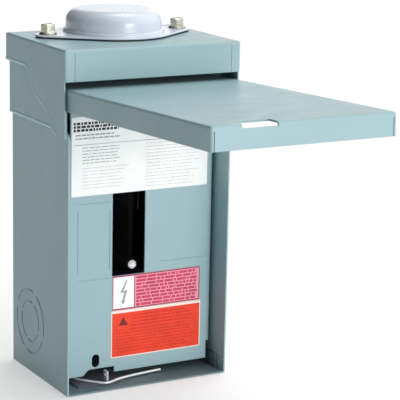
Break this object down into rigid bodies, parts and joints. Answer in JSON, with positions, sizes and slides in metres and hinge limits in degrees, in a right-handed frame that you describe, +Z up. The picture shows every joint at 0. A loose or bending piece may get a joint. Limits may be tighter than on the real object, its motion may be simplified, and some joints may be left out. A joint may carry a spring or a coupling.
{
  "type": "outdoor load center enclosure",
  "caption": "Rainproof steel electrical enclosure with a hood, lift-up door, dead front with a breaker opening, and a capped conduit hub opening on top.",
  "frame": {"origin": "middle of the flat back face that lies on the wall", "axes": "+Z up, +Y into the wall, -Y out of the front, +X to the right seen from the front; at rest the door is swung up as far as it goes"},
  "size_m": [0.1322, 0.2853, 0.2556],
  "materials": {
    "grey_enamel": "satin baked enamel over galvanised steel",
    "cast_grey_paint": "satin grey paint on drawn steel",
    "zinc_plate": "bright zinc with a slight yellow tint",
    "bright_steel": "bright drawn steel",
    "tinned_bus": "dull tin plate",
    "aluminium": "extruded, as cut",
    "black_plastic": "moulded thermoset, matte",
    "gasket_rubber": "flat closed-cell rubber",
    "label_white": null,
    "label_crimson": "coated label stock, crimson print",
    "label_orange": "coated label stock, orange print"
  },
  "bodies": {
    "root": {"enclosure_body": "grey_enamel", "bottom_end_wall": "grey_enamel", "top_end_wall": "grey_enamel", "hood": "grey_enamel", "dead_front": "grey_enamel", "dead_front_rail_left": "grey_enamel", "dead_front_rail_right": "grey_enamel", "hub_closing_cap": "cast_grey_paint", "cap_screw_left": "zinc_plate", "cap_screw_right": "zinc_plate", "hinge_pin_left": "zinc_plate", "hinge_pin_right": "zinc_plate", "seal_bracket": "zinc_plate", "breaker_hook_rail": "zinc_plate", "ground_stand": "zinc_plate", "neutral_screw_1": "zinc_plate", "neutral_screw_2": "zinc_plate", "neutral_screw_3": "zinc_plate", "neutral_screw_4": "zinc_plate", "neutral_screw_5": "zinc_plate", "ground_screw_1": "zinc_plate", "ground_screw_2": "zinc_plate", "ground_screw_3": "zinc_plate", "interior_screw_lower": "bright_steel", "interior_screw_front": "bright_steel", "interior_screw_upper": "bright_steel", "line_lug_screw_left": "bright_steel", "line_lug_screw_right": "bright_steel", "bus_bar_left": "tinned_bus", "bus_bar_right": "tinned_bus", "line_lug_left": "aluminium", "line_lug_right": "aluminium", "neutral_bar": "aluminium", "ground_bar": "aluminium", "interior_base": "black_plastic", "neutral_stand": "black_plastic", "hub_gasket": "gasket_rubber", "rating_label": "label_white", "danger_label": "label_crimson", "warning_label": "label_orange"},
    "door": {"door": "grey_enamel"},
    "seal_wire": {"seal_wire": "bright_steel"}
  },
  "joints": [
    {"name": "door_hinge", "type": "hinge", "parent": "root", "child": "door", "pos_m": [0, -0.084, 0.08035], "axis": [1, 0, 0], "range_deg": [0, 92.5]},
    {"name": "seal_wire_slide", "type": "slide", "parent": "root", "child": "seal_wire", "axis": [0, -1, 0], "range_m": [0, 0.01]}
  ]
}
